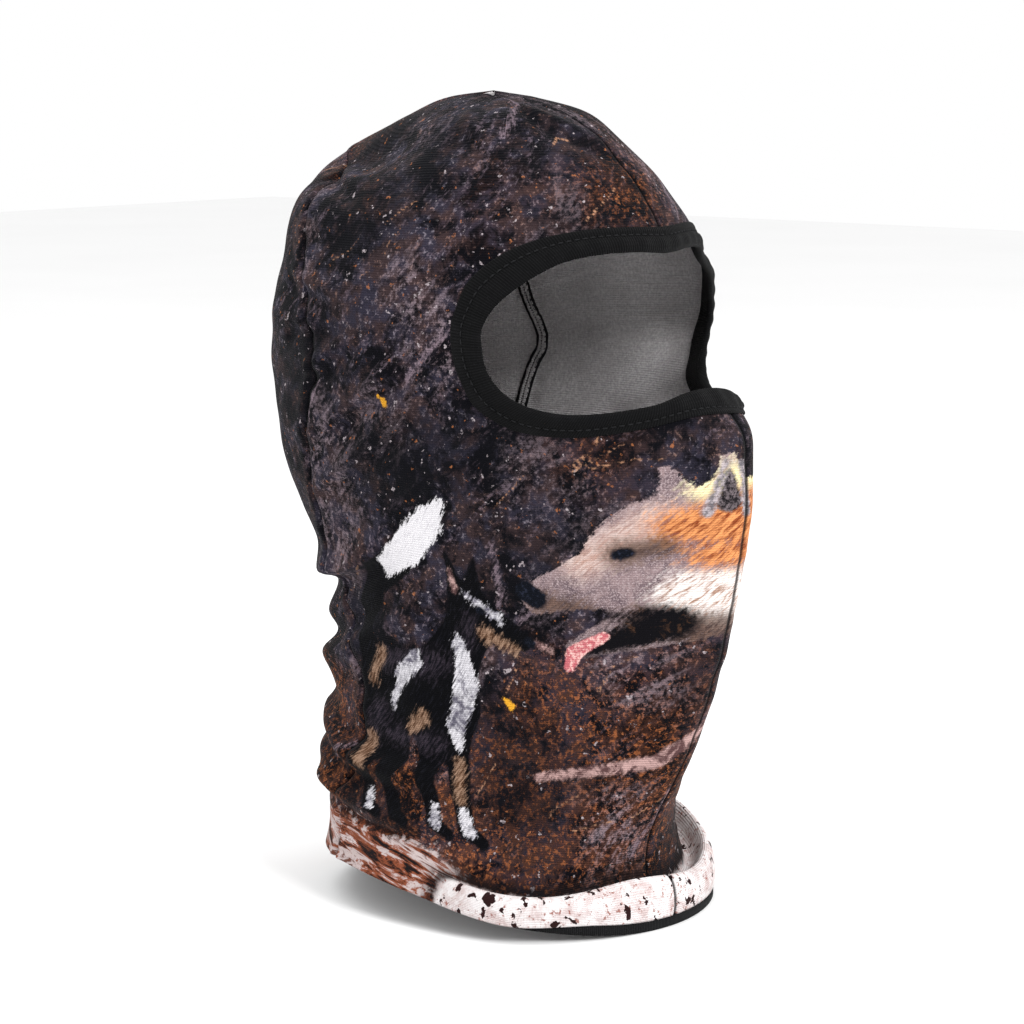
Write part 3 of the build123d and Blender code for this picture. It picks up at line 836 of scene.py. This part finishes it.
# ------------ materials
class Shade:
    """A short way to write node materials."""

    def __init__(self, name, sheen=0.0):
        self.material = bpy.data.materials.new(name)
        self.material.use_nodes = True
        self.tree = self.material.node_tree
        self.shader = self.tree.nodes["Principled BSDF"]
        self.shader.inputs["Sheen Weight"].default_value = sheen
        self.shader.inputs["Sheen Roughness"].default_value = 0.45
        self.shader.inputs["Specular IOR Level"].default_value = 0.04

    def node(self, kind, **settings):
        made = self.tree.nodes.new(kind)
        for key, value in settings.items():
            setattr(made, key, value)
        return made

    def plug(self, socket, value):
        if isinstance(value, bpy.types.NodeSocket):
            self.tree.links.new(value, socket)
        elif isinstance(value, tuple) and len(value) == 3 and socket.type == "RGBA":
            socket.default_value = (*value, 1)
        else:
            socket.default_value = value

    def math(self, operation, a, b=0.0, c=0.0):
        made = self.node("ShaderNodeMath", operation=operation)
        for socket, value in zip(made.inputs, (a, b, c)):
            self.plug(socket, value)
        return made.outputs[0]

    def times(self, a, b):
        return self.math("MULTIPLY", a, b)

    def mix(self, factor, a, b):
        made = self.node("ShaderNodeMix", data_type="RGBA")
        self.plug(made.inputs[0], factor)
        self.plug(made.inputs[6], a)
        self.plug(made.inputs[7], b)
        return made.outputs[2]

    def grade(self, value, low, high, a, b):
        """Runs from one colour to another as a value rises from low to high."""
        return self.mix(self.step(value, low, high), a, b)

    def step(self, value, low, high, to_low=0.0, to_high=1.0):
        made = self.node("ShaderNodeMapRange", interpolation_type="SMOOTHSTEP")
        for socket, number in zip(made.inputs, (value, low, high, to_low, to_high)):
            self.plug(socket, number)
        return made.outputs[0]

    def noise(self, where, scale, detail=2.0, rough=0.55, bend=0.0):
        made = self.node("ShaderNodeTexNoise")
        for name, value in (("Vector", where), ("Scale", scale), ("Detail", detail),
                            ("Roughness", rough), ("Distortion", bend)):
            self.plug(made.inputs[name], value)
        return made.outputs[0]

    def shape(self, where, turn=(0, 0, 0), scale=(1, 1, 1), move=(0, 0, 0)):
        """Turns a pattern and stretches it by a scale along its own turned axes."""
        made = self.node("ShaderNodeMapping", vector_type="TEXTURE")
        self.plug(made.inputs["Vector"], where)
        made.inputs["Rotation"].default_value = [math.radians(t) for t in turn]
        made.inputs["Scale"].default_value = scale
        made.inputs["Location"].default_value = move
        return made.outputs[0]

    def attr(self, name):
        made = self.node("ShaderNodeAttribute", attribute_name=name)
        return made.outputs["Fac"]

    def uv(self):
        made = self.node("ShaderNodeUVMap", uv_map="print")
        return made.outputs[0]

    def parts(self, vector):
        made = self.node("ShaderNodeSeparateXYZ")
        self.plug(made.inputs[0], vector)
        return made.outputs

    def place(self):
        return self.node("ShaderNodeTexCoord").outputs["Object"]

    def ripple(self, value, pitch):
        """A smooth wave from 0 to 1 with a pitch in metres."""
        turned = self.times(value, 2 * math.pi / pitch)
        return self.math("MULTIPLY_ADD", self.math("SINE", turned), 0.5, 0.5)

    def finish(self, colour, rough, height, distance):
        self.plug(self.shader.inputs["Base Color"], colour)
        self.plug(self.shader.inputs["Roughness"], rough)
        bump = self.node("ShaderNodeBump")
        bump.inputs["Strength"].default_value = 1.0
        bump.inputs["Distance"].default_value = distance
        self.plug(bump.inputs["Height"], height)
        self.plug(self.shader.inputs["Normal"], bump.outputs[0])
        return self.material


def knit_height(s, uv):
    """Courses and wales of the jersey."""
    x, z, _ = s.parts(uv)
    courses = s.ripple(z, 0.00095)
    wales = s.ripple(x, 0.0011)
    return s.times(courses, s.math("MULTIPLY_ADD", wales, 0.35, 0.65))


def printed_jersey():
    s = Shade("printed_jersey", sheen=0.03)
    uv, here = s.uv(), s.place()
    broad = s.noise(here, 34, 5, 0.62, 0.5)
    middle = s.noise(here, 130, 6, 0.72, 0.5)
    fine = s.noise(here, 520, 5, 0.75)
    grit = s.noise(here, 1500, 2, 0.7)
    lean = s.noise(s.shape(uv, turn=(0, 0, 46), scale=(1, 3.6, 1)), 170, 5, 0.72, 0.4)
    bits = s.noise(s.shape(here, turn=(20, 30, 10)), 300, 2, 0.5)
    tint = s.noise(s.shape(here, move=(3, 1, 2)), 90, 3, 0.6)

    # Ground: dark soil, leaning bands of litter, rusty and pale places, then flecks.
    mass = s.math("ADD", s.times(broad, 0.5), s.times(middle, 0.5))
    cold = s.grade(tint, 0.42, 0.6, (0.029, 0.026, 0.042), (0.042, 0.026, 0.028))
    ground = s.grade(mass, 0.445, 0.575, (0.0022, 0.0021, 0.0038), cold)
    banded = s.times(s.step(lean, 0.53, 0.64), s.step(fine, 0.44, 0.58))
    ground = s.mix(s.times(banded, 0.75), ground, (0.135, 0.100, 0.125))
    crumbs = s.times(s.step(fine, 0.55, 0.66), s.step(mass, 0.42, 0.56))
    ground = s.mix(crumbs, ground, s.grade(tint, 0.44, 0.58, (0.20, 0.175, 0.21),
                                           (0.22, 0.13, 0.11)))
    rust = s.attr("rust")
    grain = s.math("ADD", s.times(lean, 0.5), s.times(fine, 0.5))
    for mask, place, share, tone in (
        (rust, s.step(middle, 0.42, 0.60), 0.7, (0.085, 0.030, 0.014)),
        (s.step(fine, 0.51, 0.62), s.step(rust, 0.1, 0.8), 0.85, (0.33, 0.105, 0.035)),
        (s.attr("pale"), s.step(grain, 0.47, 0.60), 0.85, (0.235, 0.180, 0.205)),
        (s.attr("shade"), s.step(mass, 0.62, 0.40, 0.55, 1.0), 0.9, (0.004, 0.004, 0.006)),
        (s.step(bits, 0.685, 0.72), s.step(fine, 0.42, 0.52), 0.8, (0.46, 0.40, 0.42)),
        (s.step(bits, 0.315, 0.28), s.step(fine, 0.45, 0.55), 0.75, (0.36, 0.13, 0.05)),
    ):
        ground = s.mix(s.times(s.times(mask, place), share), ground, tone)

    # Fur runs down and back on both animals.
    fur = s.noise(s.shape(uv, turn=(0, 0, 38), scale=(1, 5, 1)), 900, 3, 0.65, 0.3)
    wild = s.math("ADD", s.math("SUBTRACT", fur, 0.5), s.math("SUBTRACT", fine, 0.5))

    def layer(colour, name, shade_to, ragged=6.0, soft=0.6, share=1.0):
        """Paints one group of limbs with a ragged edge."""
        side = s.math("MULTIPLY_ADD", wild, ragged, s.attr(name))
        mask = s.step(side, -soft, soft)
        if share < 1:
            mask = s.times(mask, share)
        return s.mix(mask, colour, shade_to)

    def hair(dark, light, low=0.36, high=0.66):
        return s.grade(fur, low, high, dark, light)

    coat = s.grade(fur, 0.5, 0.72, (0.0020, 0.0020, 0.0030), (0.008, 0.008, 0.012))
    coat = layer(coat, "gleam", hair((0.006, 0.006, 0.010), (0.050, 0.038, 0.052)), 12.0, 5.0, 0.8)
    frost = s.grade(middle, 0.36, 0.56, (0.13, 0.12, 0.16), (0.74, 0.72, 0.76))
    frost = s.grade(fur, 0.36, 0.60, s.mix(0.5, frost, (0.05, 0.05, 0.07)), frost)
    frost = s.mix(s.attr("snowy"), frost, hair((0.56, 0.54, 0.58), (0.82, 0.80, 0.83), 0.2, 0.5))

    # The tawny head: its colours melt into one another, and only its outline is sharp.
    head = s.grade(middle, 0.36, 0.62, (0.13, 0.092, 0.105), (0.30, 0.215, 0.22))
    head = s.grade(grit, 0.48, 0.64, head, (0.42, 0.33, 0.34))
    for name, tone, *edge in (
        ("brow", hair((0.48, 0.30, 0.25), (0.66, 0.52, 0.48)), 10.0, 5.0),
        ("cheek", hair((0.36, 0.21, 0.15), (0.86, 0.79, 0.76), 0.32, 0.56), 12.0, 3.5),
        ("yellow", hair((0.86, 0.62, 0.33), (0.90, 0.85, 0.50), 0.3, 0.6), 10.0, 4.5),
        ("orange", hair((0.22, 0.045, 0.014), (0.78, 0.32, 0.12), 0.34, 0.64), 14.0, 4.0),
        ("gloom", hair((0.030, 0.016, 0.011), (0.14, 0.080, 0.055)), 10.0, 3.5, 0.85),
        ("jaw", s.grade(middle, 0.54, 0.70, (0.004, 0.0035, 0.005), (0.075, 0.036, 0.02)), 6.0, 2.2),
    ):
        head = layer(head, name, tone, *edge)

    # Everything that lies on the ground, from the lowest layer up.
    colour = ground
    for name, tone, *edge in (
        ("streak", (0.27, 0.20, 0.24), 8.0, 1.6, 0.7),
        ("twig", (0.42, 0.22, 0.13), 1.6, 0.35, 0.85),
        ("black", coat, 3.5),
        ("tan", hair((0.10, 0.045, 0.022), (0.40, 0.25, 0.17)), 8.0, 1.8, 0.85),
        ("white", frost, 7.0, 0.9),
        ("pink", s.grade(middle, 0.42, 0.58, (0.10, 0.05, 0.05), (0.50, 0.32, 0.30)), 4.0, 1.2),
        ("head", head, 3.5, 0.5),
        ("ear", s.grade(fine, 0.44, 0.62, (0.012, 0.010, 0.012), (0.16, 0.13, 0.14)), 3.0, 0.9),
        ("flap", s.grade(fine, 0.40, 0.64, (0.13, 0.12, 0.135), (0.46, 0.40, 0.42)), 2.5, 0.8),
        ("dark", s.grade(fine, 0.5, 0.7, (0.004, 0.005, 0.009), (0.022, 0.026, 0.045)), 2.0, 0.8),
        ("mouth", s.grade(fine, 0.45, 0.6, (0.52, 0.13, 0.15), (0.85, 0.52, 0.48)), 2.0, 0.5),
        ("leaf", (0.75, 0.36, 0.03), 3.0, 0.5),
    ):
        colour = layer(colour, name, tone, *edge)

    # The hem: marbled low on the right and behind, and speckled snow on the rolled lip.
    _, up, _ = s.parts(uv)
    ragged_up = s.math("MULTIPLY_ADD", s.math("SUBTRACT", middle, 0.5), 0.07, up)
    low = s.step(ragged_up, 0.023, 0.014)
    swirl = s.noise(s.shape(uv, turn=(0, 0, 12), scale=(2.4, 1, 1)), 62, 6, 0.66, 1.3)
    marble = s.grade(swirl, 0.42, 0.50, (0.012, 0.009, 0.010), (0.30, 0.085, 0.04))
    marble = s.grade(swirl, 0.50, 0.56, marble, (0.66, 0.55, 0.54))
    marble = s.grade(swirl, 0.58, 0.66, marble, (0.17, 0.06, 0.04))
    colour = s.mix(s.times(low, s.attr("marbled")), colour, marble)
    blush = s.grade(middle, 0.40, 0.66, (0.84, 0.80, 0.80), (0.62, 0.50, 0.49))
    splash = s.noise(s.shape(here, move=(5, 2, 1)), 170, 3, 0.6, 0.3)
    speck = s.noise(s.shape(here, move=(1, 4, 2)), 420, 4, 0.7, 0.3)
    blush = s.mix(s.times(s.step(speck, 0.585, 0.62), 0.85), blush, (0.30, 0.10, 0.07))
    blush = s.grade(splash, 0.60, 0.615, blush, (0.026, 0.010, 0.010))
    rim = s.math("MULTIPLY_ADD", s.math("SUBTRACT", middle, 0.5), 0.16, s.attr("rim"))
    # Painted shade: a near-black band in the valley where the rolled lip turns out, partly the
    # print's own dark there.
    valley_shade = s.times(s.step(s.attr("rim"), 0.01, 0.10), s.step(middle, 0.30, 0.50))
    colour = s.mix(s.times(valley_shade, 0.85), colour, (0.006, 0.005, 0.006))
    colour = s.grade(rim, 0.13, 0.20, colour, blush)

    # A near-black line along the seams: the black thread showing in them, and painted shade in the
    # seam's groove.
    seam_thread_and_shade = s.step(s.attr("seam"), 1.3, 0.3)
    colour = s.mix(s.times(seam_thread_and_shade, 0.85), colour, (0.004, 0.004, 0.005))
    knit = knit_height(s, uv)
    # Painted shade: the low places of the knit are darkened, as shade in its troughs.
    colour = s.mix(s.times(s.math("SUBTRACT", 1.0, knit), 0.22), colour, (0.0, 0.0, 0.0))
    rough = s.math("MULTIPLY_ADD", grit, 0.22, 0.70)
    height = s.math("ADD", knit, s.times(s.noise(here, 260, 3), 0.9))
    return s.finish(colour, rough, height, 0.00022)


def jersey_back():
    s = Shade("jersey_back", sheen=0.1)
    uv, here = s.uv(), s.place()
    fuzz = s.noise(here, 900, 4, 0.7)
    cloud = s.noise(here, 45, 3)
    colour = s.grade(fuzz, 0.35, 0.7, (0.42, 0.40, 0.41), (0.66, 0.64, 0.64))
    colour = s.mix(s.times(s.step(cloud, 0.4, 0.7), 0.35), colour, (0.34, 0.31, 0.32))
    height = s.math("ADD", knit_height(s, uv), fuzz)
    return s.finish(colour, s.math("MULTIPLY_ADD", fuzz, 0.2, 0.75), height, 0.0003)


def black_tape(name, pitch, cross, tone):
    s = Shade(name, sheen=0.02)
    uv, here = s.uv(), s.place()
    x, y, _ = s.parts(uv)
    ribs = s.ripple(x, pitch)
    weft = s.ripple(y, cross)
    lint = s.noise(here, 1300, 3, 0.7)
    worn_places = s.noise(here, 70, 3)
    height = s.times(ribs, s.math("MULTIPLY_ADD", weft, 0.4, 0.6))
    # Painted shade: the tape is darker in the grooves between its ribs.
    colour = s.mix(height, tuple(t * 0.45 for t in tone), tone)
    colour = s.mix(s.times(s.step(lint, 0.62, 0.75), 0.5), colour, (0.028, 0.028, 0.03))
    colour = s.mix(s.times(s.step(worn_places, 0.5, 0.75), 0.35), colour,
                   (0.012, 0.0115, 0.0125))
    rough = s.math("MULTIPLY_ADD", lint, 0.25, 0.62)
    return s.finish(colour, rough, s.math("ADD", height, s.times(lint, 0.5)), 0.0003)


def black_thread():
    s = Shade("black_thread", sheen=0.03)
    here = s.place()
    lint = s.noise(here, 2600, 3, 0.7)
    twist = s.noise(s.shape(here, turn=(30, 20, 0), scale=(1, 1, 5)), 1500, 2)
    colour = s.mix(lint, (0.004, 0.004, 0.005), (0.020, 0.020, 0.021))
    return s.finish(colour, s.math("MULTIPLY_ADD", lint, 0.3, 0.45), twist, 0.0002)


def studio_white():
    s = Shade("pale_floor")
    speck = s.noise(s.place(), 3, 2)
    colour = s.mix(speck, (0.90, 0.90, 0.90), (0.94, 0.94, 0.94))
    return s.finish(colour, s.math("MULTIPLY_ADD", speck, 0.1, 0.8), speck, 0.0001)


# ------------ stage
# Name, place, width in metres and power in watts.
LAMPS = (
    ("key", (-0.5, -1.8, 1.5), 0.8, 36),
    ("fill", (1.5, -1.2, 0.9), 1.2, 8),
    ("top", (-0.4, 0.5, 1.9), 1.2, 12),
)


def studio():
    scene = bpy.context.scene
    scene.view_settings.view_transform = "Standard"
    floor = bpy.data.meshes.new("floor")
    size = 4.0
    floor.from_pydata([(-size, -size, 0), (size, -size, 0), (size, size, 0), (-size, size, 0)],
                      [], [(0, 1, 2, 3)])
    floor_object = bpy.data.objects.new("floor", floor)
    scene.collection.objects.link(floor_object)
    floor.materials.append(studio_white())
    world = bpy.data.worlds.new("studio")
    scene.world = world
    world.use_nodes = True
    backdrop = world.node_tree.nodes["Background"]
    backdrop.inputs[0].default_value = (1, 1, 1, 1)
    backdrop.inputs[1].default_value = 1.0
    for name, place, wide, power in LAMPS:
        light = bpy.data.lights.new(name, "AREA")
        light.energy, light.size = power, wide
        lamp = bpy.data.objects.new(name, light)
        lamp.location = place
        aim = Vector((0, 0, 0.17)) - Vector(place)
        lamp.rotation_euler = aim.to_track_quat("-Z", "Y").to_euler()
        scene.collection.objects.link(lamp)


def camera():
    azimuth, elevation, distance = math.radians(-50.25), math.radians(8.5), 1.342
    target = Vector((-0.0027, 0.0032, 0.1612))
    back = Vector((math.sin(azimuth) * math.cos(elevation),
                   -math.cos(azimuth) * math.cos(elevation), math.sin(elevation)))
    data = bpy.data.cameras.new("camera")
    data.lens, data.sensor_width = 114.3, 36
    cam = bpy.data.objects.new("camera", data)
    cam.location = target + back * distance
    cam.rotation_euler = (-back).to_track_quat("-Z", "Y").to_euler()
    bpy.context.scene.collection.objects.link(cam)
    bpy.context.scene.camera = cam


# ------------ assembly
def dress(obj, node, slot, *materials):
    for material in materials:
        obj.data.materials.append(material)
    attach(obj, BODY)
    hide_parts(node)


def main():
    studio()
    camera()
    cloth, reverse = printed_jersey(), jersey_back()
    sheets = zip(make_panels(), ("right_side_panel", "left_side_panel", "back_panel"),
                 ((0.26, 0.43), (0.26, 0.43), (0.22, 0.37)), (0.062, 0.062, 0.051))
    for obj, node, flat, area in sheets:
        dress(obj, node, "printed_jersey", cloth, reverse)
        thicken(obj, FABRIC)
    tape = black_tape("black_binding", 0.0011, 0.0016, (0.0065, 0.0065, 0.007))
    facing_tape = black_tape("black_facing", 0.0008, 0.0008, (0.014, 0.014, 0.015))
    thread = black_thread()
    dress(make_binding(), "eye_opening_binding", "black_binding", tape)
    dress(make_eye_stitches(), "eye_binding_stitching", "black_thread", thread)
    nodes = ("crown_seam_overlock", "chin_seam_overlock", "back_seam_overlock_right",
             "back_seam_overlock_left")
    for obj, node in zip(make_overlocks(), nodes):
        dress(obj, node, "black_thread", thread)
    facing, row = make_facing()
    dress(facing, "hem_facing", "black_facing", facing_tape)
    dress(row, "hem_facing_stitching", "black_thread", thread)


main()
